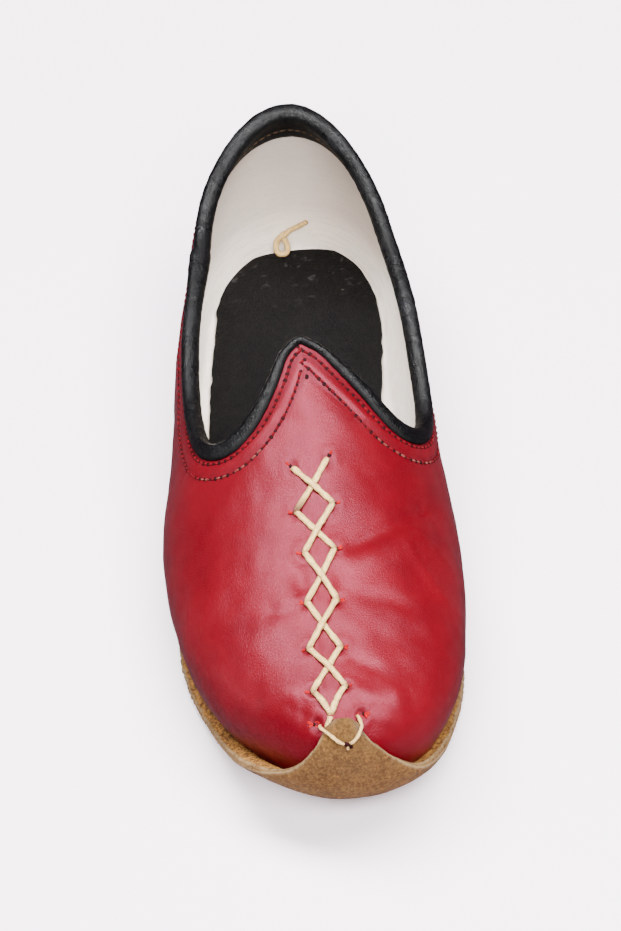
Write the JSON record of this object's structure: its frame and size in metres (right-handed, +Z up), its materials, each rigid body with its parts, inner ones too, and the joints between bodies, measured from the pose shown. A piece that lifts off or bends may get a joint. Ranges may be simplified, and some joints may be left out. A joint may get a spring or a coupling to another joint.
{
  "type": "leather slip-on shoe",
  "caption": "Hand-sewn red leather slip-on shoe for the right foot, with a bound collar, peaked vamp, cross-stitched front and a hide sole drawn up into a toe tab.",
  "frame": {"origin": "on the floor under the middle of the shoe's bounding box", "axes": "+Y towards the heel, -Y towards the toe, +X towards the inner side of the right foot, +Z up"},
  "size_m": [0.094, 0.2498, 0.0788],
  "materials": {
    "red_leather": "satin, waxed",
    "hide": "rough, matte",
    "black_leather": "satin",
    "sock": "matte",
    "thread": "waxed, matte"
  },
  "bodies": {
    "root": {"upper": "red_leather", "outsole": "hide", "collar_binding": "black_leather", "insole": "sock", "vamp_lacing": "thread"}
  },
  "joints": []
}
